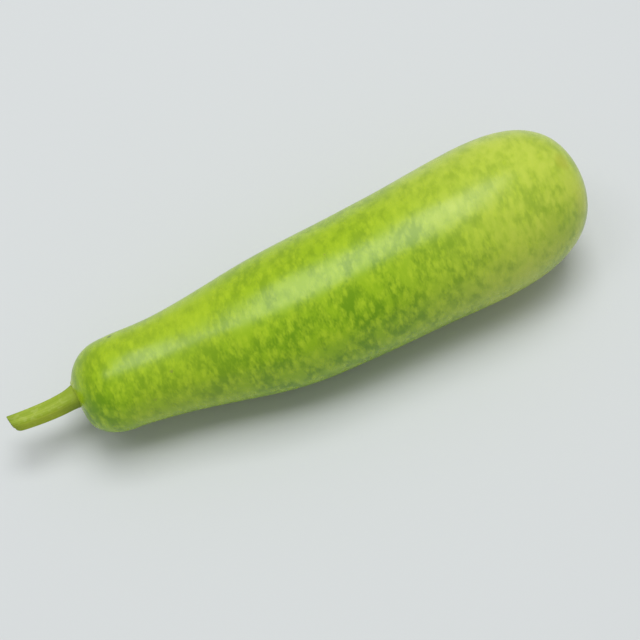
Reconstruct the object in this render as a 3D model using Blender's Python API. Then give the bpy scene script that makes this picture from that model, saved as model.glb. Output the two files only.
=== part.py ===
"""A bottle gourd as picked, lying on its side: the whole fruit and the cut stalk that it hung from.

Metres, +Z up. The stalk points to -X and the blossom end to +X. The gourd rests on the plane z = 0 on
one small flat under its belly, below its weight, and its neck and stalk stand clear of the plane. The
origin lies on that plane, under the middle of the whole gourd's box.
"""

import math

import bpy
import numpy as np

# The fruit's radius at shares of its length, from the stem end to the blossom end.
FRUIT_LENGTH = 0.350
FRUIT_GIRTH = (
    (0.00, 0.0273),
    (0.06, 0.0289),
    (0.12, 0.0302),
    (0.18, 0.0319),
    (0.27, 0.0372),
    (0.38, 0.0435),
    (0.52, 0.0461),
    (0.68, 0.0483),
    (0.84, 0.0514),
    (1.00, 0.0541),
)

# Each end rounds off over a share of the length, by a power: 2 is an ellipse, and more is blunter.
STEM_DOME = (0.078, 2.3)
BLOSSOM_DOME = (0.27, 2.76)

# The fruit grew slightly curved. Each bend moves its middle line sideways and up.
MIDDLE_BEND = (-0.0045, -0.0001)
NECK_BEND = (0.0099, 0.0030)
NECK_REACH = 0.50
TIP_BEND = (-0.0040, -0.0056)
TIP_REACH = 0.12
ROOT_BEND = (0.0064, 0.0037)
ROOT_REACH = 0.012

# The hollow that the stalk stands in, and the blind socket in its bottom.
HOLLOW_DEPTH = 0.0025
HOLLOW_RADIUS = 0.011
SOCKET_RADIUS = 0.0068
SOCKET_DEPTH = 0.005

# The blossom scar: a shallow hollow with a low round button in its middle.
SCAR_DEPTH = 0.0012
SCAR_RADIUS = 0.008
BUTTON_HEIGHT = 0.0008
BUTTON_RADIUS = 0.003
BUTTON_EDGE = 0.0003
SCAR_RINGS = (0.0060, 0.0044, 0.0034, 0.0026, 0.0014)

# The stalk: its radius at distances out from the fruit, its five soft ridges, its curve and its cut.
STALK_LENGTH = 0.0420
STALK_GIRTH = ((0.000, 0.0073), (0.004, 0.0067), (0.012, 0.0062), (0.026, 0.0058), (0.042, 0.0053))
STALK_RIDGES = 5
RIDGE_HEIGHT = 0.05
RIDGE_START = 0.010
STALK_LEAN = (-0.0019, -0.0053)
STALK_CURL = (0.0050, 0.0028)
CUT_SLANT = (0.11, 0.09)
EDGE_BEVEL = 0.0004
FIT_GAP = 0.0003

# How far the belly is pressed flat where it rests, and the share of the length on either side of the
# weight over which it lies level.
FLAT_DEPTH = 0.0012
BELLY_SPAN = 0.12

FRUIT_SIDES = 48
FRUIT_RINGS = 54
STALK_SIDES = 30
STALK_RINGS = 14

SKIN_GREEN = (0.26, 0.43, 0.035, 1.0)
STALK_GREEN = (0.30, 0.40, 0.05, 1.0)


def spline(points, at):
    """The natural cubic spline through the (place, value) points, read at the places in at."""
    place, value = np.array(points, float).T
    step = np.diff(place)
    slope = np.diff(value) / step
    matrix = np.eye(len(place))
    right = np.zeros(len(place))
    for i in range(1, len(place) - 1):
        matrix[i, i - 1 : i + 2] = step[i - 1], 2 * (step[i - 1] + step[i]), step[i]
        right[i] = 6 * (slope[i] - slope[i - 1])
    curve = np.linalg.solve(matrix, right)
    i = np.clip(np.searchsorted(place, at) - 1, 0, len(step) - 1)
    before = (place[i + 1] - at) / step[i]
    after = (at - place[i]) / step[i]
    straight = before * value[i] + after * value[i + 1]
    bow = (before**3 - before) * curve[i] + (after**3 - after) * curve[i + 1]
    return straight + bow * step[i] ** 2 / 6


def dome(share, reach, power):
    """How far an end has filled out at a share of the length from its pole, from 0 to 1."""
    left = 1 - np.clip(share / reach, 0, 1)
    return (1 - left**power) ** (1 / power)


def dome_share(filled, reach, power):
    """The share of the length from its pole at which an end has filled out this far."""
    return reach * (1 - (1 - filled**power) ** (1 / power))


def fruit_radius(share):
    return spline(FRUIT_GIRTH, share) * dome(share, *STEM_DOME) * dome(1 - share, *BLOSSOM_DOME)


def middle_line(share):
    """The sideways and upward places of the fruit's middle line."""
    bends = (
        (np.sin(np.pi * share), MIDDLE_BEND),
        (np.clip(1 - share / NECK_REACH, 0, 1) ** 2, NECK_BEND),
        (np.clip(1 - share / TIP_REACH, 0, 1) ** 2, TIP_BEND),
        (np.clip(1 - share / ROOT_REACH, 0, 1) ** 2, ROOT_BEND),
    )
    return sum(np.multiply.outer(bend, weight) for weight, bend in bends)


def stem_hollow(radius):
    return HOLLOW_DEPTH * np.exp(-((radius / HOLLOW_RADIUS) ** 2))


def scar_relief(radius):
    """How far the blossom scar stands out at this radius from its middle."""
    button = 1 / (1 + np.exp((radius - BUTTON_RADIUS) / BUTTON_EDGE))
    return BUTTON_HEIGHT * button - SCAR_DEPTH * np.exp(-((radius / SCAR_RADIUS) ** 2))


def fruit_rings():
    """The (x, y, z, radius) of each ring, from the socket's floor and mouth to the blossom scar."""
    scar_shares = [1 - dome_share(radius / FRUIT_GIRTH[-1][1], *BLOSSOM_DOME) for radius in SCAR_RINGS]
    mouth_share = dome_share(SOCKET_RADIUS / FRUIT_GIRTH[0][1], *STEM_DOME)
    # Even steps of this angle crowd the rings at both ends, where the outline turns fastest.
    angles = np.linspace(math.acos(1 - 2 * mouth_share), math.acos(1 - 2 * scar_shares[0]), FRUIT_RINGS)
    share = np.append((1 - np.cos(angles)) / 2, scar_shares[1:])
    radius = fruit_radius(share)
    relief = np.where(share < 0.5, stem_hollow(radius), scar_relief(radius))
    rings = np.column_stack([(share - 0.5) * FRUIT_LENGTH + relief, *middle_line(share), radius])
    return np.vstack([rings[0] + (SOCKET_DEPTH, 0, 0, 0), rings])


def stalk_outline():
    """The (distance out from the socket's mouth, radius) of each ring, from the cut to the peg's end."""
    peg_radius = SOCKET_RADIUS - FIT_GAP
    peg_end = FIT_GAP - SOCKET_DEPTH
    outs = np.linspace(STALK_LENGTH - EDGE_BEVEL, FIT_GAP, STALK_RINGS)
    cut_radius = STALK_GIRTH[-1][1] - EDGE_BEVEL
    return [
        (STALK_LENGTH, cut_radius),
        *zip(outs, spline(STALK_GIRTH, outs)),
        (FIT_GAP, peg_radius),
        (peg_end + EDGE_BEVEL, peg_radius),
        (peg_end, peg_radius - EDGE_BEVEL),
    ]


def ring_points(middle, radius, sides):
    """Points round the X direction that start at the lowest one; radius may differ from point to point."""
    turn = 2 * np.pi * np.arange(sides) / sides
    x, y, z = middle
    return np.column_stack([np.full(sides, x), y + radius * np.sin(turn), z - radius * np.cos(turn)])


def fruit_loops():
    """The fruit in its own frame: its first point, its loops and its last point."""
    rings = fruit_rings()
    loops = [ring_points(ring[:3], ring[3], FRUIT_SIDES) for ring in rings]
    scar_middle = rings[-1][:3] + (scar_relief(0) - scar_relief(rings[-1][3]), 0, 0)
    return rings[0][:3], loops, scar_middle


def stalk_loops():
    """The stalk in the fruit's frame: its first point, its loops and its last point."""
    mouth = fruit_rings()[1][:3]
    turn = 2 * np.pi * np.arange(STALK_SIDES) / STALK_SIDES
    loops = []
    middles = []
    for out, radius in stalk_outline():
        share = max(out, 0) / STALK_LENGTH
        lean = np.multiply(STALK_LEAN, share) + np.multiply(STALK_CURL, share**2)
        middle = mouth + (-out, *lean)
        ridge = RIDGE_HEIGHT * np.clip(out / RIDGE_START, 0, 1)
        loop = ring_points(middle, radius * (1 + ridge * np.cos(STALK_RIDGES * turn)), STALK_SIDES)
        # The slant of the cut grows along the stalk, so that the loops don't cross.
        loop[:, 0] -= (loop[:, 1:] - middle[1:]) @ CUT_SLANT * share**4
        loops.append(loop)
        middles.append(middle)
    return middles[0], loops, middles[-1]


def resting_tilt():
    """The turn about Y that lays the belly level under the fruit's weight."""
    share = np.linspace(0, 1, 400)
    section = fruit_radius(share) ** 2
    weight_share = (share * section).sum() / section.sum()
    belly = weight_share + np.array([-BELLY_SPAN, BELLY_SPAN])
    underside = middle_line(belly)[1] - fruit_radius(belly)
    return -math.atan2(underside[1] - underside[0], (belly[1] - belly[0]) * FRUIT_LENGTH)


def turned(points, tilt):
    """Points turned about Y, so that +X tips up by the tilt."""
    x, y, z = points.T
    return np.column_stack([
        x * math.cos(tilt) - z * math.sin(tilt),
        y,
        x * math.sin(tilt) + z * math.cos(tilt),
    ])


def laid_down(fruit, stalk):
    """Both point sets as they rest on z = 0, centred on the origin, with the belly pressed flat."""
    tilt = resting_tilt()
    fruit = turned(fruit, tilt)
    stalk = turned(stalk, tilt)
    both = np.vstack([fruit, stalk])
    middle = (both.min(axis=0) + both.max(axis=0)) / 2
    origin = np.array([middle[0], middle[1], fruit[:, 2].min() + FLAT_DEPTH])
    fruit = fruit - origin
    fruit[:, 2] = np.maximum(fruit[:, 2], 0)
    return fruit, stalk - origin


def faces_of(loop_count, sides):
    """Faces of a closed body: a fan at its first point, bands between its loops, a fan at its last."""
    last = 1 + loop_count * sides
    faces = []
    for i in range(sides):
        j = (i + 1) % sides
        faces.append((0, 1 + j, 1 + i))
        for start in range(1, last - sides, sides):
            faces.append((start + i, start + j, start + sides + j, start + sides + i))
        faces.append((last, last - sides + i, last - sides + j))
    return faces


def material_of(name, colour, roughness):
    material = bpy.data.materials.new(name)
    material.use_nodes = True
    shader = material.node_tree.nodes["Principled BSDF"]
    shader.inputs["Base Color"].default_value = colour
    shader.inputs["Roughness"].default_value = roughness
    shader.inputs["Metallic"].default_value = 0.0
    return material


def add_body(name, points, loop_count, sides, material):
    mesh = bpy.data.meshes.new(name)
    mesh.from_pydata(points.tolist(), [], faces_of(loop_count, sides))
    mesh.materials.append(material)
    mesh.shade_smooth()
    mesh.set_sharp_from_angle(angle=math.radians(40))
    body = bpy.data.objects.new(name, mesh)
    bpy.context.scene.collection.objects.link(body)


def clear_scene():
    for thing in list(bpy.data.objects):
        bpy.data.objects.remove(thing, do_unlink=True)


def build_gourd():
    clear_scene()
    fruit_start, fruit_middle, fruit_end = fruit_loops()
    stalk_start, stalk_middle, stalk_end = stalk_loops()
    fruit, stalk = laid_down(
        np.vstack([fruit_start, *fruit_middle, fruit_end]),
        np.vstack([stalk_start, *stalk_middle, stalk_end]),
    )
    skin = material_of("gourd_skin", SKIN_GREEN, 0.42)
    stem = material_of("gourd_stalk", STALK_GREEN, 0.6)
    add_body("fruit", fruit, len(fruit_middle), FRUIT_SIDES, skin)
    add_body("stalk", stalk, len(stalk_middle), STALK_SIDES, stem)


build_gourd()
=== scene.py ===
# %% [markdown]
# A bottle gourd as picked, lying on a pale floor under soft studio light.
# This file dresses a finished solid model. The solids hold the gourd's true size and place, and this
# file gives them the fine surface and the finishes that the eye sees. Run the cells from top to bottom.
# Lengths are in metres, the stalk points to -X, the blossom end to +X, and +Z is up.

# %% Load the solids
import math

import bpy
import numpy as np
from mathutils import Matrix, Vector, noise


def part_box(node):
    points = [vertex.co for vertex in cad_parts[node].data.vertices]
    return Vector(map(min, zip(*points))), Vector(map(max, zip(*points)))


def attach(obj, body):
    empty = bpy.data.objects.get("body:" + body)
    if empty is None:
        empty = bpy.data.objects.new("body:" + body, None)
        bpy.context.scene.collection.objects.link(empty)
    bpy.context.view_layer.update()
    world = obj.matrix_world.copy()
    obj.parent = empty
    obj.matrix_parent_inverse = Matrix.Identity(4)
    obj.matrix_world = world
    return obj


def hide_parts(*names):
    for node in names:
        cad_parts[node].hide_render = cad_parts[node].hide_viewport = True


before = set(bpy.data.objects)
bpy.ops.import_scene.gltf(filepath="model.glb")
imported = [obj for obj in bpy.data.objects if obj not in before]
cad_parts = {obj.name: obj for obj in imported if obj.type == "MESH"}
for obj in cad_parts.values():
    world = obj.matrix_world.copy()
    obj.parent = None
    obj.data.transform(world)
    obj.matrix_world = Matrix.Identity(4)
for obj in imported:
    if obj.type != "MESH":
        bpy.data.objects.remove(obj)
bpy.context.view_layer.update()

# %% [markdown]
# A camera first, because every later choice is judged through it. A long lens from about a metre keeps
# the fruit's far end from shrinking. It looks down at 60 degrees, along the stalk side: from there the
# round stem end hides the foot of the stalk, as it does on the real gourd that was looked at.
# `to_track_quat` turns a direction into a rotation, so the camera only needs two points.

# %% Camera
CAMERA_PLACE = Vector((-0.2201, -0.4252, 0.8562))
CAMERA_TARGET = Vector((0.0016, -0.0126, 0.0450))
LENS_MM = 85.0
SENSOR_MM = 36.0

camera_data = bpy.data.cameras.new("camera")
camera_data.lens = LENS_MM
camera_data.sensor_width = SENSOR_MM
camera = bpy.data.objects.new("camera", camera_data)
camera.location = CAMERA_PLACE
camera.rotation_euler = (CAMERA_TARGET - CAMERA_PLACE).to_track_quat("-Z", "Y").to_euler()
bpy.context.scene.collection.objects.link(camera)
bpy.context.scene.camera = camera
print("camera is", round((CAMERA_TARGET - CAMERA_PLACE).length, 3), "m from what it looks at")

# %% [markdown]
# The fruit is a tube of rings along a slightly curved middle line. A handful of girths, read as a smooth
# spline, give the long club shape, and at both ends the tube rounds off like a blunt ellipse.
# Sculpting could give the same form, but a formula keeps it exactly on the solid that it dresses, and
# it can be sampled as finely as the skin needs.

# %% The fruit's shape
FRUIT_LENGTH = 0.350
FRUIT_GIRTH = (
    (0.00, 0.0273),
    (0.06, 0.0289),
    (0.12, 0.0302),
    (0.18, 0.0319),
    (0.27, 0.0372),
    (0.38, 0.0435),
    (0.52, 0.0461),
    (0.68, 0.0483),
    (0.84, 0.0514),
    (1.00, 0.0541),
)
STEM_DOME = (0.078, 2.3)
BLOSSOM_DOME = (0.27, 2.76)
MIDDLE_BEND = (-0.0045, -0.0001)
NECK_BEND = (0.0099, 0.0030)
NECK_REACH = 0.50
TIP_BEND = (-0.0040, -0.0056)
TIP_REACH = 0.12
ROOT_BEND = (0.0064, 0.0037)
ROOT_REACH = 0.012


def spline(points, at):
    """The natural cubic spline through the (place, value) points, read at the places in at."""
    place, value = np.array(points, float).T
    step = np.diff(place)
    slope = np.diff(value) / step
    matrix = np.eye(len(place))
    right = np.zeros(len(place))
    for i in range(1, len(place) - 1):
        matrix[i, i - 1 : i + 2] = step[i - 1], 2 * (step[i - 1] + step[i]), step[i]
        right[i] = 6 * (slope[i] - slope[i - 1])
    curve = np.linalg.solve(matrix, right)
    i = np.clip(np.searchsorted(place, at) - 1, 0, len(step) - 1)
    before = (place[i + 1] - at) / step[i]
    after = (at - place[i]) / step[i]
    straight = before * value[i] + after * value[i + 1]
    bow = (before**3 - before) * curve[i] + (after**3 - after) * curve[i + 1]
    return straight + bow * step[i] ** 2 / 6


def dome(share, reach, power):
    """How far an end has filled out at a share of the length from its pole, from 0 to 1."""
    left = 1 - np.clip(share / reach, 0, 1)
    return (1 - left**power) ** (1 / power)


def fruit_radius(share):
    return spline(FRUIT_GIRTH, share) * dome(share, *STEM_DOME) * dome(1 - share, *BLOSSOM_DOME)


def middle_line(share):
    """The sideways and upward places of the fruit's middle line."""
    bends = (
        (np.sin(np.pi * share), MIDDLE_BEND),
        (np.clip(1 - share / NECK_REACH, 0, 1) ** 2, NECK_BEND),
        (np.clip(1 - share / TIP_REACH, 0, 1) ** 2, TIP_BEND),
        (np.clip(1 - share / ROOT_REACH, 0, 1) ** 2, ROOT_BEND),
    )
    return sum(np.multiply.outer(bend, weight) for weight, bend in bends)


widest = fruit_radius(np.linspace(0, 1, 200)).max()
print("fruit", FRUIT_LENGTH, "m long,", round(2 * widest, 4), "m across at its widest")

# %% [markdown]
# A gourd lies where its weight puts it: on the belly below its heavy end, with the neck standing clear.
# A solver could drop it on the floor, but the tilt is quick to work out from the shape: the underside
# is read a little way to each side of the weight, and the line between the two places is laid level.

# %% Laying it down
BELLY_SPAN = 0.12


def resting_tilt():
    """The turn about Y that lays the belly level under the fruit's weight."""
    share = np.linspace(0, 1, 400)
    section = fruit_radius(share) ** 2
    weight_share = (share * section).sum() / section.sum()
    belly = weight_share + np.array([-BELLY_SPAN, BELLY_SPAN])
    underside = middle_line(belly)[1] - fruit_radius(belly)
    return -math.atan2(underside[1] - underside[0], (belly[1] - belly[0]) * FRUIT_LENGTH)


TILT = resting_tilt()


def turned(points):
    """Points turned about Y by the resting tilt, so that +X tips up."""
    x, y, z = points.T
    return np.column_stack([
        x * math.cos(TILT) - z * math.sin(TILT),
        y,
        x * math.sin(TILT) + z * math.cos(TILT),
    ])


print("the fruit tips up by", round(math.degrees(TILT), 2), "degrees")

# %% [markdown]
# Real skin is never a perfect surface of revolution. The fruit has broad dents from growing against
# leaves and soil, and very faint ribs that run its length over the bundles inside. Noise that is read
# at each point's own place gives both, and needs no unwrapped map and leaves no seam.

# %% Uneven skin
BROAD_DENTS = (0.050, 0.00030)
SMALL_DENTS = (0.016, 0.00009)
RIB_COUNT = 10
RIB_HEIGHT = 0.00010


def unevenness(points, size, height, seed):
    """A smooth noise with bumps about this size apart and this height, read at each point."""
    place = points / size + seed
    return height * np.array([noise.noise(Vector(p)) for p in place])


def skin_relief(points, turn, share):
    """How far the skin stands out at each point, for the turn round the girth and share of the length."""
    broad = unevenness(points, *BROAD_DENTS, seed=3.7)
    small = unevenness(points, *SMALL_DENTS, seed=11.2)
    wander = 0.5 * np.sin(5 * share) + 0.3 * np.sin(11 * share + 1)
    ribs = RIB_HEIGHT * np.cos(RIB_COUNT * (turn + wander))
    return broad + small + ribs * np.sin(np.pi * share) ** 2


print("dents are up to", 1000 * BROAD_DENTS[1], "mm and ribs", 1000 * RIB_HEIGHT, "mm")

# %% [markdown]
# The two ends carry the fruit's history. The stalk stands in a shallow hollow, and the skin is drawn
# into it in soft folds. At the other end the blossom left a scar: a shallow dip with a low button and
# fine cracks around it. Both are ripples that depend on the distance from the pole, so they shift the
# points of the end rings along the fruit.

# %% The hollow and the scar
HOLLOW_DEPTH = 0.0025
HOLLOW_RADIUS = 0.011
FOLD_COUNT = 9
FOLD_HEIGHT = 0.00018
FOLD_PLACE = 0.0115
FOLD_WIDTH = 0.0038
SCAR_DEPTH = 0.0012
SCAR_RADIUS = 0.008
BUTTON_HEIGHT = 0.0008
BUTTON_RADIUS = 0.003
BUTTON_EDGE = 0.0003
CRACK_COUNT = 11
CRACK_DEPTH = 0.00016


def stem_end_relief(radius, turn):
    """How far the skin is drawn in towards the fruit round the stalk, at this distance from the pole."""
    drawn = HOLLOW_DEPTH * np.exp(-((radius / HOLLOW_RADIUS) ** 2))
    uneven = turn + 0.25 * np.sin(2 * turn + 1) + 0.12 * np.sin(5 * turn)
    folds = FOLD_HEIGHT * np.cos(FOLD_COUNT * uneven) * (0.7 + 0.3 * np.sin(3 * turn))
    return drawn + folds * np.exp(-(((radius - FOLD_PLACE) / FOLD_WIDTH) ** 2))


def blossom_end_relief(radius, turn):
    """How far the blossom scar stands out at this distance from its middle."""
    button = 1 / (1 + np.exp((radius - BUTTON_RADIUS) / BUTTON_EDGE))
    uneven = turn + 0.3 * np.sin(turn + 2) + 0.1 * np.sin(4 * turn)
    cracks = np.maximum(np.cos(CRACK_COUNT * uneven), 0) ** 3 * (1 - button)
    cracks *= np.exp(-(((radius - 1.5 * BUTTON_RADIUS) / BUTTON_RADIUS) ** 2))
    dip = SCAR_DEPTH * np.exp(-((radius / SCAR_RADIUS) ** 2))
    return BUTTON_HEIGHT * button - dip - CRACK_DEPTH * cracks


print("stem folds", FOLD_COUNT, "and blossom cracks", CRACK_COUNT)

# %% [markdown]
# Now the rings become a mesh. Even steps of an angle, and not of the length, crowd the rings at both
# ends, where the outline turns fastest. Each band between two rings is a row of four-sided faces, and
# each pole is closed by a fan of triangles, so the fruit is one closed body. Where the belly touches the
# floor it is pressed flat by about a millimetre, as the solid is.

# %% The fruit's mesh
FRUIT_SIDES = 216
FRUIT_RINGS = 400
DENT_FADE = 0.02
FLAT_DEPTH = 0.0012


def closed_faces(loop_count, sides):
    """Faces of a closed body: a fan at its first point, bands between its loops, a fan at its last."""
    last = 1 + loop_count * sides
    faces = []
    for i in range(sides):
        j = (i + 1) % sides
        faces.append((0, 1 + j, 1 + i))
        for start in range(1, last - sides, sides):
            faces.append((start + i, start + j, start + sides + j, start + sides + i))
        faces.append((last, last - sides + i, last - sides + j))
    return faces


def fruit_points():
    """The fruit's points in its own frame: the stem pole, its rings and the blossom pole."""
    angle = np.linspace(0, np.pi, FRUIT_RINGS + 2)[1:-1]
    share, turn = np.meshgrid((1 - np.cos(angle)) / 2, 2 * np.pi * np.arange(FRUIT_SIDES) / FRUIT_SIDES)
    share, turn = share.T.ravel(), turn.T.ravel()
    radius = fruit_radius(share)
    aside, lift = middle_line(share)
    along = (share - 0.5) * FRUIT_LENGTH
    smooth = np.column_stack([along, aside + radius * np.sin(turn), lift - radius * np.cos(turn)])
    # The dents fade out towards the poles, where a ring is too small to carry them.
    grown = radius + skin_relief(smooth, turn, share) * np.clip(radius / DENT_FADE, 0, 1)
    ends = np.where(share < 0.5, stem_end_relief(radius, turn), blossom_end_relief(radius, turn))
    rings = np.column_stack([along + ends, aside + grown * np.sin(turn), lift - grown * np.cos(turn)])
    stem_pole = rings[:FRUIT_SIDES].mean(axis=0)
    blossom_pole = rings[-FRUIT_SIDES:].mean(axis=0)
    return np.vstack([stem_pole, rings, blossom_pole])


def add_piece(name, points, faces, materials):
    """A smooth mesh object that rides on the gourd's one body."""
    mesh = bpy.data.meshes.new(name)
    mesh.from_pydata(points.tolist(), [], faces)
    for material in materials:
        mesh.materials.append(material)
    mesh.shade_smooth()
    piece = bpy.data.objects.new(name, mesh)
    bpy.context.scene.collection.objects.link(piece)
    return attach(piece, "root")


def belly_line():
    """The smooth underside's line of lowest points, at rest."""
    share = np.linspace(0.02, 0.98, 2000)
    aside, lift = middle_line(share)
    return turned(np.column_stack([(share - 0.5) * FRUIT_LENGTH, aside, lift - fruit_radius(share)]))


fruit_rest = turned(fruit_points())
solid_low, solid_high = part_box("fruit")
blossom_x = fruit_rest[:, 0].max()
side_middle = (fruit_rest[:, 1].min() + fruit_rest[:, 1].max()) / 2
floor_drop = belly_line()[:, 2].min() + FLAT_DEPTH
PLACE = np.array([solid_high.x - blossom_x, (solid_low.y + solid_high.y) / 2 - side_middle, -floor_drop])
fruit_rest = fruit_rest + PLACE
fruit_rest[:, 2] = np.maximum(fruit_rest[:, 2], 0)
print("fruit lies from", fruit_rest.min(axis=0).round(4), "to", fruit_rest.max(axis=0).round(4))
print("solid lies from", np.round(solid_low, 4), "to", np.round(solid_high, 4))

# %% [markdown]
# Finishes are node graphs. They could be drawn by hand in the editor, but a graph is easier to read, and
# to change, as a sum. This class wraps one output socket. Adding, subtracting, multiplying or dividing it
# in Python adds a Math node and gives back its output. In all but a division a plain number may also
# stand on the left, as in `1 - mask`.

# %% Sums that become nodes


class Wire:
    """One output of a node, which ordinary Python sums extend with Math nodes."""

    def __init__(self, finish, socket):
        self.finish = finish
        self.socket = socket

    def math(self, operation, first, second):
        return self.finish.node("ShaderNodeMath", {"operation": operation}, {0: first, 1: second})

    def __add__(self, other):
        return self.math("ADD", self, other)

    def __sub__(self, other):
        return self.math("SUBTRACT", self, other)

    def __rsub__(self, other):
        return self.math("SUBTRACT", other, self)

    def __mul__(self, other):
        return self.math("MULTIPLY", self, other)

    def __truediv__(self, other):
        return self.math("DIVIDE", self, other)

    __radd__ = __add__
    __rmul__ = __mul__

    def between(self, low, high):
        """0 below low and 1 above high, with a soft turn at both; low may be the larger one."""
        sockets = {"Value": self, "From Min": low, "From Max": high}
        return self.finish.node("ShaderNodeMapRange", {"interpolation_type": "SMOOTHSTEP"}, sockets)


print("a Wire adds Math nodes for + - * and /")

# %% [markdown]
# The other half of the bench is one method that makes any other node: its settings first, because they
# can change which sockets it has, and then the value or link of each socket. Short helpers on top of it
# cover what the finishes share: a place to read patterns at, a noise, scattered cells, a mix of two
# colours and a bump. A Mix node has sockets of the same name for each kind of data, so its colour sockets
# are picked by number.

# %% The finish bench
COLOUR_FACTOR, COLOUR_A, COLOUR_B, COLOUR_OUT = 0, 6, 7, 2


class Finish:
    """A material whose Principled shader is fed from patterns."""

    def __init__(self, name, **constants):
        self.material = bpy.data.materials.new(name)
        self.material.use_nodes = True
        self.tree = self.material.node_tree
        self.shader = self.tree.nodes["Principled BSDF"]
        for socket, value in constants.items():
            self.plug(self.shader.inputs[socket.replace("_", " ")], value)

    def plug(self, socket, value):
        if isinstance(value, Wire):
            self.tree.links.new(value.socket, socket)
        elif isinstance(value, (int, float)):
            socket.default_value = value
        else:
            length = len(socket.default_value)
            socket.default_value = (*value, 1.0)[:length]

    def node(self, kind, settings, sockets, out=0):
        """A node of this kind, with its settings made first and then its sockets filled or linked."""
        made = self.tree.nodes.new(kind)
        for name, value in settings.items():
            setattr(made, name, value)
        for key, value in sockets.items():
            self.plug(made.inputs[key], value)
        return Wire(self, made.outputs[out])

    def place(self):
        return self.node("ShaderNodeTexCoord", {}, {}, out="Object")

    def attribute(self, name):
        return self.node("ShaderNodeAttribute", {"attribute_name": name}, {}, out="Vector")

    def facing(self):
        return self.node("ShaderNodeTexCoord", {}, {}, out="Normal")

    def axis(self, vector, letter):
        return self.node("ShaderNodeSeparateXYZ", {}, {0: vector}, out=letter)

    def vector_math(self, operation, *vectors, out="Vector"):
        return self.node("ShaderNodeVectorMath", {"operation": operation}, dict(enumerate(vectors)), out=out)

    def length(self, vector):
        return self.vector_math("LENGTH", vector, out="Value")

    def distance(self, vector, point):
        return self.vector_math("DISTANCE", vector, point, out="Value")

    def stretched(self, vector, sizes, shift=(0, 0, 0)):
        """The place counted in pattern sizes along X, Y and Z: a longer size draws a pattern out."""
        return self.vector_math("ADD", self.vector_math("DIVIDE", vector, sizes), shift)

    def noise(self, vector, detail=2.0, roughness=0.5, distortion=0.0):
        sockets = {"Vector": vector, "Scale": 1.0, "Detail": detail, "Roughness": roughness}
        return self.node("ShaderNodeTexNoise", {}, {**sockets, "Distortion": distortion})

    def cells(self, vector, out="Distance"):
        """Cells round scattered points: the distance to the nearest point, or a random colour for each."""
        return self.node("ShaderNodeTexVoronoi", {}, {"Vector": vector, "Scale": 1.0}, out=out)

    def mix(self, factor, first, second):
        """The first colour where the factor is 0, the second where it is 1."""
        sockets = {COLOUR_FACTOR: factor, COLOUR_A: first, COLOUR_B: second}
        return self.node("ShaderNodeMix", {"data_type": "RGBA"}, sockets, out=COLOUR_OUT)

    def bump(self, height, distance, strength, under=None):
        sockets = {"Height": height, "Distance": distance, "Strength": strength}
        if under:
            sockets["Normal"] = under
        return self.node("ShaderNodeBump", {}, sockets, out="Normal")

    def feed(self, **wires):
        """Links wires to the shader's own sockets."""
        for socket, wire in wires.items():
            self.tree.links.new(wire.socket, self.shader.inputs[socket.replace("_", " ")])


print("a Finish makes nodes of any kind")

# %% [markdown]
# Gourd skin is a living rind under a thin wax. Its green is shaded in soft patches, and on it lie small
# pale dabs, a little longer round the girth than along the fruit. The top and the far side, where the
# main light falls, are yellower and the underside greener: partly the sun's mark on the skin, partly
# painted light and painted shade. The blossom end is paler, and round the stalk the skin turns a pale
# olive, partly its own colour and partly painted light against the shade of the hollow.
# A painted map could hold all of that, but patterns worked out from each point's place keep their
# size everywhere and have no seam. A pattern is drawn out by dividing the place by a longer size along
# that axis, so the dabs' sizes below are simply their real ones.

# %% Skin colours
DEEP_GREEN = (0.150, 0.312, 0.002)
LEAF_GREEN = (0.284, 0.476, 0.006)
PALE_FLECK = (0.430, 0.610, 0.020)
# The yellow of the top and far side: partly sun-yellowed skin, partly painted light.
SUN_AND_LIGHT_YELLOW = (0.430, 0.515, 0.012)
PALE_NECK = (0.440, 0.560, 0.030)
PALE_END = (0.560, 0.640, 0.078)
# A pale olive round the stalk: partly the skin's own colour, partly painted light against the hollow's
# shade.
OLIVE_AND_PAINTED_LIGHT = (0.520, 0.630, 0.060)
DAB_SIZE = (0.0042, 0.0074, 0.0074)
FLECK_SIZE = (0.0026, 0.0056, 0.0056)
PATCH_SIZE = (0.0075, 0.0110, 0.0110)
CLOUD_SIZE = (0.022, 0.028, 0.028)
SPECK_SIZE = (0.0011, 0.0022, 0.0022)
FLECK_LEAN = 0.2
# The painted light and sun yellowing follow the facing: towards the back and towards the top.
SUN_AND_LIGHT_FROM_BACK = 0.85
SUN_AND_LIGHT_FROM_ABOVE = 0.55
SUN_AND_LIGHT_EDGE = (-0.35, 0.95)
NECK_STARTS = (0.03, 0.12)
NECK_ENDS = (0.18, 0.36)
BLOSSOM_PALING = (0.50, 0.90)
OLIVE_REACH = (0.006, 0.016)

stem_pole = tuple(fruit_rest[0].tolist())
blossom_pole = tuple(fruit_rest[-1].tolist())


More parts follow.
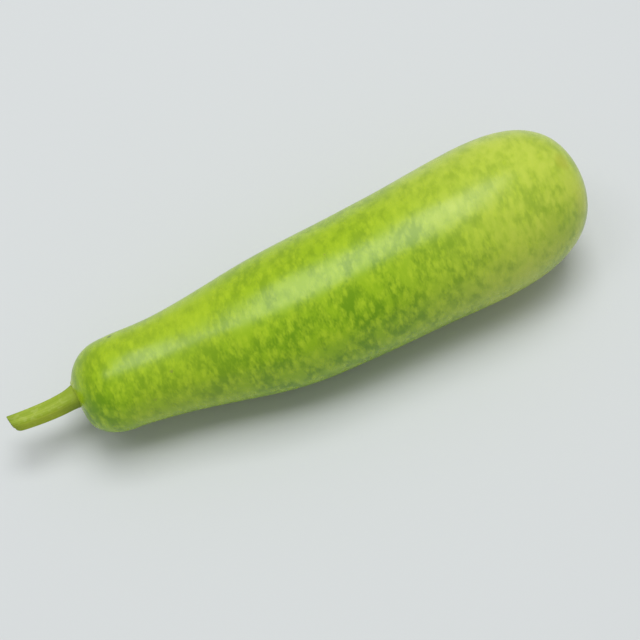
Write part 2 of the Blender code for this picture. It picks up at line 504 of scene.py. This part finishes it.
def skin_green(skin, place):
    """The patchy green with its pale dabs, and the dabs and fine specks that the gloss also follows."""
    x, y, z = (skin.axis(place, letter) for letter in "XYZ")
    # The dabs don't run quite round the girth: down the sides they lean towards the blossom end.
    leaning = skin.node("ShaderNodeCombineXYZ", {}, {0: x + FLECK_LEAN * (z - y), 1: y, 2: z})
    flecks = skin.noise(skin.stretched(leaning, FLECK_SIZE), detail=2.5, distortion=0.3)
    spots = 1 - skin.cells(skin.stretched(leaning, DAB_SIZE, (1, 4, 8)))
    patches = skin.noise(skin.stretched(leaning, PATCH_SIZE, (7, 3, 1)), detail=1.5, distortion=0.1)
    clouds = skin.noise(skin.stretched(place, CLOUD_SIZE, (2, 9, 4)), detail=2.0)
    specks = skin.noise(skin.stretched(leaning, SPECK_SIZE), detail=1.0)
    broad = 0.46 * patches + 0.40 * clouds + 0.14 * specks
    ground = skin.mix(broad.between(0.40, 0.58), DEEP_GREEN, LEAF_GREEN)
    dabs = (0.33 * spots + 0.45 * flecks + 0.22 * specks).between(0.40, 0.71)
    # The top and the far side face the sun and the main light: they are painted yellower, partly as
    # sun-bleached skin and partly as painted light, and the dabs there fade into the ground.
    facing = skin.facing()
    back, up = (skin.axis(facing, letter) for letter in "YZ")
    sun_and_light = (SUN_AND_LIGHT_FROM_ABOVE * up + SUN_AND_LIGHT_FROM_BACK * back).between(*SUN_AND_LIGHT_EDGE)
    flecked = skin.mix(dabs * (0.57 + 0.34 * broad) * (1.1 - 0.26 * sun_and_light), ground, PALE_FLECK)
    sun_and_light_tinted = skin.mix(sun_and_light * 0.30 + clouds * 0.1, flecked, SUN_AND_LIGHT_YELLOW)
    along = (x - stem_pole[0]) / (blossom_pole[0] - stem_pole[0])
    neck = along.between(*NECK_STARTS) * (1 - along.between(*NECK_ENDS))
    necked = skin.mix(neck * (0.12 + 0.20 * clouds), sun_and_light_tinted, PALE_NECK)
    # The blossom end is the palest, in soft patches.
    soft = (0.40 * patches + 0.35 * clouds + 0.25 * flecks).between(0.36, 0.65)
    blossom = skin.mix(along.between(*BLOSSOM_PALING) * (0.40 + 0.46 * soft), necked, PALE_END)
    # Round the stalk the skin is painted a pale olive: partly its own colour, partly painted light that
    # lifts the shade of the hollow.
    from_stem = skin.distance(place, stem_pole)
    olive_and_painted_light = skin.mix((1 - from_stem.between(*OLIVE_REACH)) * 0.85, blossom, OLIVE_AND_PAINTED_LIGHT)
    return olive_and_painted_light, flecks, dabs, specks


print("dabs are about", [round(1000 * size, 1) for size in DAB_SIZE], "mm apart along X, Y and Z")

# %% [markdown]
# No fruit from a field is spotless. Four marks stand where they were seen: a dark speck by the stem, and
# near the blossom end a rubbed patch, a warm blush and a greener patch below them. They could be painted
# by hand, but a mark is only a place on the skin, a reach, a strength and a colour, so one loop can mix
# them all in. Over the rest a few small healed specks are strewn by a cell pattern: each cell has a
# random colour, and only the few cells above a high bar show their point.

# %% Marks and the blossom scar
RUBBED_BROWN = (0.400, 0.410, 0.025)
WARM_BLUSH = (0.620, 0.570, 0.050)
HEALED_SPECK = (0.230, 0.250, 0.045)
DARK_SPECK = (0.060, 0.085, 0.012)
# Each mark's share of the length, turn round the girth in degrees, reach, strength and colour.
SEEN_MARKS = (
    (0.099, 136, 0.0017, 0.80, DARK_SPECK),
    (0.950, 192, 0.0080, 0.45, RUBBED_BROWN),
    (0.961, 235, 0.0150, 0.20, WARM_BLUSH),
    (0.893, 239, 0.0230, 0.20, DEEP_GREEN),
)
MARK_CORE = 0.35
STREWN_SIZE = (0.014, 0.014, 0.014)
STREWN_BAR = (0.90, 0.92)
STREWN_EDGE = (0.04, 0.10)
STREWN_STRENGTH = 0.55
SCAR_CORK = (0.270, 0.225, 0.090)
SCAR_PALE = (0.480, 0.470, 0.150)
# Where each part of the scar starts to fade and has faded, in radii of its button.
RING_EDGE = (1.0, 2.4)
CORK_EDGE = (0.75, 1.2)
HEART_EDGE = (0.2, 0.55)


def on_skin(share, degrees):
    """The place on the skin at a share of the length and a turn round the girth from the belly."""
    turn = math.radians(degrees)
    aside, lift = middle_line(share)
    radius = fruit_radius(share)
    along = (share - 0.5) * FRUIT_LENGTH
    spot = np.array([[along, aside + radius * math.sin(turn), lift - radius * math.cos(turn)]])
    return tuple((turned(spot) + PLACE)[0].tolist())


def skin_marks(skin, place, colour, ragged):
    """The colour with its marks on it; ragged is a noise that keeps their edges from being round."""
    for share, degrees, reach, strength, tone in SEEN_MARKS:
        away = skin.distance(place, on_skin(share, degrees)) * (0.5 + ragged)
        colour = skin.mix((1 - away.between(MARK_CORE * reach, reach)) * strength, colour, tone)
    strewn = skin.stretched(place, STREWN_SIZE, (3, 5, 8))
    chosen = skin.axis(skin.cells(strewn, out="Color"), "X").between(*STREWN_BAR)
    near = 1 - (skin.cells(strewn) * (0.5 + ragged)).between(*STREWN_EDGE)
    return skin.mix(chosen * near * STREWN_STRENGTH, colour, HEALED_SPECK)


def blossom_scar(skin, place, colour, ragged):
    """The colour with a pale ring and a corky, pale-hearted button at the blossom pole."""
    away = skin.distance(place, blossom_pole) * (0.5 + ragged)
    layers = ((RING_EDGE, 0.70, SCAR_PALE), (CORK_EDGE, 0.85, SCAR_CORK), (HEART_EDGE, 0.60, SCAR_PALE))
    for (start, end), strength, tone in layers:
        inside = 1 - away.between(start * BUTTON_RADIUS, end * BUTTON_RADIUS)
        colour = skin.mix(inside * strength, colour, tone)
    return colour


print("marks at", [tuple(round(n, 3) for n in on_skin(mark[0], mark[1])) for mark in SEEN_MARKS])

# %% [markdown]
# The wax gives a soft, even gloss: the dabs are a little smoother than the green between them. A clear
# coat over the skin could stand for the wax, but its mirror would be too sharp, so a low roughness alone
# does it. What is left of the surface is relief too fine for the mesh, and that is two bumps, one read
# through the other.

# %% The finished fruit
WAX_ROUGHNESS = 0.24
BARE_ROUGHNESS = 0.04
SPECK_ROUGHNESS = 0.03
# The height in metres and the strength of each bump.
SPECK_BUMP = (0.00003, 0.3)
FLECK_BUMP = (0.0002, 0.2)


def skin_finish():
    skin = Finish("gourd_skin", Specular_IOR_Level=0.30)
    place = skin.place()
    green, flecks, dabs, specks = skin_green(skin, place)
    marked = skin_marks(skin, place, green, flecks)
    skin.feed(Base_Color=blossom_scar(skin, place, marked, specks))
    skin.feed(Roughness=WAX_ROUGHNESS + BARE_ROUGHNESS * (1 - dabs) + SPECK_ROUGHNESS * specks)
    skin.feed(Normal=skin.bump(flecks, *FLECK_BUMP, under=skin.bump(specks, *SPECK_BUMP)))
    return skin.material


fruit = add_piece("fruit_skin", fruit_rest, closed_faces(FRUIT_RINGS, FRUIT_SIDES), [skin_finish()])
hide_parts("fruit")
print("fruit has", len(fruit.data.polygons), "faces")

# %% [markdown]
# The stalk is a woody green stem with five soft ridges, thinner towards the cut, and it curves a
# little. A bevelled curve would make a round stem quickly, but its section can't be ridged unevenly or
# cut on a slant, so it is built from rings as the fruit is. Its foot flares and sinks into the hollow,
# at the mouth of the socket that the solid has there. On the cut the pith has sunk, and the bundles
# that fed the fruit stand in a ring round it.

# %% The stalk's mesh
STALK_LENGTH = 0.0420
STALK_GIRTH = ((0.000, 0.0073), (0.004, 0.0067), (0.012, 0.0062), (0.026, 0.0058), (0.042, 0.0053))
STALK_LEAN = (-0.0019, -0.0053)
STALK_CURL = (0.0050, 0.0028)
CUT_SLANT = (0.11, 0.09)
MAIN_RIDGES = 5
RIDGE_HEIGHT = 0.055
RIDGE_START = 0.010
FINE_RIDGES = 23
FINE_HEIGHT = 0.012
ROOT_DEPTH = 0.0025
FLARE_HEIGHT = 0.0002
FLARE_REACH = 0.0016
EDGE_ROUND = 0.0006
WORN_REACH = 0.0040
WORN_SIDE = 0.0016
WORN_FACE = 0.0008
WORN_TURN = -1.0
PITH_DEPTH = 0.0009
PITH_SHARE = 0.42
BUNDLE_HEIGHT = 0.00022
BUNDLE_PLACE = 0.68
BUNDLE_WIDTH = 0.10
BUNDLE_COUNT = 10
STALK_SIDES = 160
STALK_RINGS = 150
EDGE_RINGS = 6
CUT_RINGS = 22

# The socket's mouth is where the fruit's stem end has filled out to the socket's radius.
SOCKET_RADIUS = 0.0068
MOUTH_FILL = SOCKET_RADIUS / FRUIT_GIRTH[0][1]
MOUTH_SHARE = STEM_DOME[0] * (1 - (1 - MOUTH_FILL ** STEM_DOME[1]) ** (1 / STEM_DOME[1]))
MOUTH_DEPTH = MOUTH_SHARE * FRUIT_LENGTH + HOLLOW_DEPTH * math.exp(-((SOCKET_RADIUS / HOLLOW_RADIUS) ** 2))
STALK_START = np.array([-0.5 * FRUIT_LENGTH + MOUTH_DEPTH, *middle_line(MOUTH_SHARE)])


def stalk_middle(out):
    """The stalk's middle line at a distance out from the fruit, beside the line straight out."""
    share = np.maximum(out, 0) / STALK_LENGTH
    return np.multiply.outer(share, STALK_LEAN) + np.multiply.outer(share**2, STALK_CURL)


def stalk_radius(out):
    out = np.maximum(out, 0)
    return spline(STALK_GIRTH, out) + FLARE_HEIGHT * np.exp(-out / FLARE_REACH)


def stalk_grid():
    """The (distance out, radius, share of the full radius, 1 on the cut) of each ring.

    The rings go up the side, over the rounded edge and in across the cut.
    """
    side_out = np.linspace(-ROOT_DEPTH, STALK_LENGTH - EDGE_ROUND, STALK_RINGS)
    quarter = np.linspace(0, math.pi / 2, EDGE_RINGS + 1)[1:]
    edge_out = STALK_LENGTH - EDGE_ROUND + EDGE_ROUND * np.sin(quarter)
    edge_in = EDGE_ROUND * (1 - np.cos(quarter))
    face_share = np.linspace(1, 0, CUT_RINGS + 1)[1:-1]
    face_radius = (spline(STALK_GIRTH, STALK_LENGTH) - EDGE_ROUND) * face_share
    rows = [(out, stalk_radius(out), 1.0, 0.0) for out in side_out]
    rows += [(out, stalk_radius(out) - cut, 1.0, 0.0) for out, cut in zip(edge_out, edge_in)]
    rows += [(STALK_LENGTH, radius, share, 1.0) for radius, share in zip(face_radius, face_share)]
    return np.array(rows)


def stalk_points():
    """The stalk's points in the fruit's frame, and for each its turn, distance out, share and cut."""
    rows = stalk_grid()
    turn = np.tile(2 * np.pi * np.arange(STALK_SIDES) / STALK_SIDES, len(rows))
    out, radius, share, cut = (np.repeat(column, STALK_SIDES) for column in rows.T)
    grown_in = np.clip(out / RIDGE_START, 0, 1)
    main = RIDGE_HEIGHT * np.cos(MAIN_RIDGES * turn + 0.5 * np.sin(turn))
    fine = FINE_HEIGHT * np.cos(FINE_RIDGES * turn + 2 * np.sin(3 * turn + 40 * out))
    waver = 0.02 * np.sin(2 * turn + 90 * out) + 0.015 * np.sin(3 * turn - 170 * out)
    radius = radius * (1 + (main + fine * (1 - 0.5 * cut) + waver) * grown_in)
    # One side of the cut's rim is worn round, and the rest of it is still nearly sharp.
    worn = ((1 + np.cos(turn - WORN_TURN)) / 2) ** 2
    near_cut = np.clip((out - STALK_LENGTH + WORN_REACH) / WORN_REACH, 0, 1)
    radius = radius - WORN_SIDE * worn * near_cut**2 * share
    out = out - WORN_FACE * worn * near_cut**4 * share**4
    middle = stalk_middle(out)
    aside, lift = radius * np.sin(turn), -radius * np.cos(turn)
    # The slant of the cut grows along the stalk, and the pith in its middle has dried back a little.
    slant = (aside * CUT_SLANT[0] + lift * CUT_SLANT[1]) * (np.clip(out, 0, None) / STALK_LENGTH) ** 4
    pith = PITH_DEPTH * np.exp(-((share / PITH_SHARE) ** 4)) * cut
    bundles = BUNDLE_HEIGHT * (0.6 + 0.4 * np.cos(BUNDLE_COUNT * turn)) * cut
    bundles *= np.exp(-(((share - BUNDLE_PLACE) / BUNDLE_WIDTH) ** 2))
    end = out - pith + bundles
    points = STALK_START + np.column_stack([-end - slant, middle[:, 0] + aside, middle[:, 1] + lift])
    return points, turn, out, share, cut


points, turn, out, share, cut = stalk_points()
ends = points[:STALK_SIDES].mean(axis=0), points[-STALK_SIDES:].mean(axis=0)
stalk_rest = turned(np.vstack([ends[0], points, ends[1]])) + PLACE
# These rings run towards -X and the fruit's run towards +X, so the faces are turned over.
stalk_faces = [face[::-1] for face in closed_faces(len(points) // STALK_SIDES, STALK_SIDES)]
print("stalk lies from", stalk_rest.min(axis=0).round(4), "to", stalk_rest.max(axis=0).round(4))

# %% [markdown]
# Patterns on the stalk run along it, so they need to know where along and around it a point is. An
# unwrapped map could say so, but it would have a seam. The mesh code knows it too, and stores it with the
# mesh as an attribute that the finish can read: the turn as a cosine and a sine, which close without a
# seam, and the share of the length.

# %% Stalk grain and colours
STALK_PALE = (0.360, 0.450, 0.050)
STALK_GREEN = (0.245, 0.340, 0.020)
STALK_BLOTCH = (0.440, 0.510, 0.110)
# A paler green for the stalk's underside: painted light.
STALK_UNDERSIDE_PAINTED_LIGHT = (0.450, 0.530, 0.030)
# A darker olive near the root: partly the stalk's own colour, partly painted shade in the hollow.
STALK_ROOT_OLIVE_AND_SHADE = (0.270, 0.360, 0.030)
# A dark green for painted shade under the root, and for the drying tip of the stalk.
STALK_DRIED_AND_SHADE = (0.140, 0.210, 0.018)
BLOTCH_SIZE = (0.0026, 0.0020, 0.0020)
# Sizes along a turn's cosine and sine and along the stalk, so the streaks are long and narrow.
STREAK_SIZE = (0.22, 0.22, 1.6)
STREAK_BUMP = (0.0003, 0.35)
TONE_SIZE = (0.7, 0.7, 2.0)
ROOT_FADE = (0.02, 0.40)
TIP_FADE = (0.80, 1.05)


def store(piece, name, values):
    """Keeps three numbers for each point of the mesh under a name that a finish can read."""
    layer = piece.data.attributes.new(name, "FLOAT_VECTOR", "POINT")
    layer.data.foreach_set("vector", values.astype(np.float32).ravel())


def stalk_finish():
    stalk = Finish("gourd_stalk", Specular_IOR_Level=0.12)
    grain = stalk.attribute("grain")
    streaks = stalk.noise(stalk.stretched(grain, STREAK_SIZE), detail=3.0, roughness=0.6)
    broad = stalk.noise(stalk.stretched(grain, TONE_SIZE, (5, 1, 2)), detail=1.0)
    tone = (0.50 * streaks + 0.50 * broad).between(0.32, 0.66)
    green = stalk.mix(tone, STALK_GREEN, STALK_PALE)
    blotches = stalk.noise(stalk.stretched(stalk.place(), BLOTCH_SIZE), detail=1.5)
    mottled = stalk.mix(blotches.between(0.50, 0.66) * 0.45, green, STALK_BLOTCH)
    # The underside is painted paler, as painted light, except near the root, where its underside is painted
    # darker, as painted shade in the hollow.
    facing = stalk.facing()
    back, up = (stalk.axis(facing, letter) for letter in "YZ")
    under = (0.7 * up + 0.7 * back).between(0.5, -0.7)
    painted_light_underside = stalk.mix(under * 0.55, mottled, STALK_UNDERSIDE_PAINTED_LIGHT)
    out_share = stalk.axis(grain, "Z")
    near_root = 1 - out_share.between(*ROOT_FADE)
    # Near the root the stalk turns a darker olive, partly its own colour and partly painted shade where it
    # sinks into the hollow.
    root_olive_and_shade = stalk.mix(near_root * 0.6, painted_light_underside, STALK_ROOT_OLIVE_AND_SHADE)
    # Painted shade: the underside near the root is darkened where the hollow shelters it.
    painted_shade_near_root = stalk.mix(near_root * under * 0.5, root_olive_and_shade, STALK_DRIED_AND_SHADE)
    aged = stalk.mix(out_share.between(*TIP_FADE) * 0.4, painted_shade_near_root, STALK_DRIED_AND_SHADE)
    stalk.feed(Base_Color=aged, Roughness=0.50 + 0.15 * streaks)
    stalk.feed(Normal=stalk.bump(streaks, *STREAK_BUMP))
    return stalk.material


print("stalk streaks are drawn out to", round(1000 * STREAK_SIZE[2] * STALK_LENGTH), "mm along it")

# %% [markdown]
# The cut end has dried to one dull olive, and its fibres show only as a fine grain in its gloss and
# relief. It could be a separate disc, but then its rim would be a seam. Here the cut is part of the same
# mesh, and a second material is given to the faces that lie on it. That material reads a second
# attribute, the place on the cut in shares of its radius, so the grain is fine in both directions there.

# %% The cut end and the finished stalk
DRIED_OLIVE = (0.27, 0.34, 0.06)
FIBRE_SIZE = (0.12, 0.12, 1.0)
FIBRE_BUMP = (0.0003, 0.6)


def cut_finish():
    cut = Finish("stalk_cut", Base_Color=DRIED_OLIVE, Specular_IOR_Level=0.3)
    fibre = cut.noise(cut.stretched(cut.attribute("cut_place"), FIBRE_SIZE), detail=3.0)
    cut.feed(Roughness=0.65 + 0.2 * fibre)
    cut.feed(Normal=cut.bump(fibre, *FIBRE_BUMP))
    return cut.material


def with_ends(values):
    """Values for every point of the stalk: its first and last points lie on its middle line."""
    return np.vstack([(0, 0, 0), values, (0, 0, 1)])


stalk = add_piece("stalk_skin", stalk_rest, stalk_faces, [stalk_finish(), cut_finish()])
around = np.cos(turn), np.sin(turn)
store(stalk, "grain", with_ends(np.column_stack([*around, out / STALK_LENGTH])))
store(stalk, "cut_place", with_ends(np.column_stack([*np.multiply(around, share), cut])))
on_cut = np.concatenate([[0], cut, [1]])
for face in stalk.data.polygons:
    face.material_index = int(min(on_cut[i] for i in face.vertices) > 0)
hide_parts("stalk")
print("stalk has", len(stalk.data.polygons), "faces")

# %% [markdown]
# In a studio the floor runs up into a pale wall with no edge between them. Here the floor's alpha fades
# out well away from the fruit, and the world behind it has almost its tone, so hardly a horizon shows.
# The world that is seen is brighter than the world that lights the fruit: a Light Path node tells the
# two apart, and the softboxes keep the upper hand in the light.

# %% Floor and world
FLOOR_HALF = 4.0
FLOOR_DROP = 0.0001
FLOOR_TONE = (0.66, 0.66, 0.655)
FLOOR_PALE = (0.68, 0.68, 0.675)
FADE_START = 0.5
FADE_END = 1.9
SKY_TONE = (0.94, 0.98, 1.0)
SKY_LIGHT = 0.40
SKY_SEEN = 0.73


def floor_finish():
    paper = Finish("floor_paper", Specular_IOR_Level=0.2)
    place = paper.place()
    mottle = paper.noise(paper.stretched(place, (0.4, 0.4, 0.4)), detail=2.0)
    paper.feed(Base_Color=paper.mix(mottle, FLOOR_TONE, FLOOR_PALE), Roughness=0.75 + 0.1 * mottle)
    paper.feed(Alpha=1 - paper.length(place).between(FADE_START, FADE_END))
    return paper.material


corners = FLOOR_HALF * np.array([(-1, -1, 0), (1, -1, 0), (1, 1, 0), (-1, 1, 0)])
floor_mesh = bpy.data.meshes.new("floor")
floor_mesh.from_pydata(corners.tolist(), [], [(0, 1, 2, 3)])
floor_mesh.materials.append(floor_finish())
floor = bpy.data.objects.new("floor", floor_mesh)
floor.location.z = -FLOOR_DROP
bpy.context.scene.collection.objects.link(floor)

world = bpy.data.worlds.new("studio")
world.use_nodes = True
sky = world.node_tree.nodes["Background"]
sky.inputs["Color"].default_value = (*SKY_TONE, 1.0)
seen = world.node_tree.nodes.new("ShaderNodeLightPath")
strength = world.node_tree.nodes.new("ShaderNodeMapRange")
strength.inputs["To Min"].default_value = SKY_LIGHT
strength.inputs["To Max"].default_value = SKY_SEEN
world.node_tree.links.new(seen.outputs["Is Camera Ray"], strength.inputs["Value"])
world.node_tree.links.new(strength.outputs["Result"], sky.inputs["Strength"])
bpy.context.scene.world = world
bpy.context.scene.view_settings.view_transform = "Standard"
print("the floor fades out from", FADE_START, "to", FADE_END, "m")

# %% [markdown]
# The long soft glint down the fruit's back is a mirror image of the main light, so the light's size and
# place are read from the glint: a wide softbox high above, a little behind the fruit. A weak narrow one
# beyond the stalk gives the second, fainter glint on the stem end. Both hang high, because light from
# far away falls off slowly and keeps the floor even.

# %% Lights
LAMP_HEIGHT = 3.9
COOL_WHITE = (0.94, 0.98, 1.0)


def add_softbox(name, place, aim, width, height, watts):
    """A rectangular light that hangs at a place and shines at another."""
    light = bpy.data.lights.new(name, "AREA")
    light.shape = "RECTANGLE"
    light.size, light.size_y = width, height
    light.energy = watts
    light.color = COOL_WHITE
    lamp = bpy.data.objects.new(name, light)
    lamp.location = place
    lamp.rotation_euler = (Vector(aim) - Vector(place)).to_track_quat("-Z", "Y").to_euler()
    bpy.context.scene.collection.objects.link(lamp)
    print(name, "gives", watts, "W")


add_softbox("main_softbox", (0.27, 0.54, LAMP_HEIGHT), (0.06, 0.10, 0), 2.14, 2.6, 107.0)
add_softbox("stem_softbox", (-2.08, 0.41, LAMP_HEIGHT), (-0.10, 0.05, 0), 1.1, 1.5, 20.0)
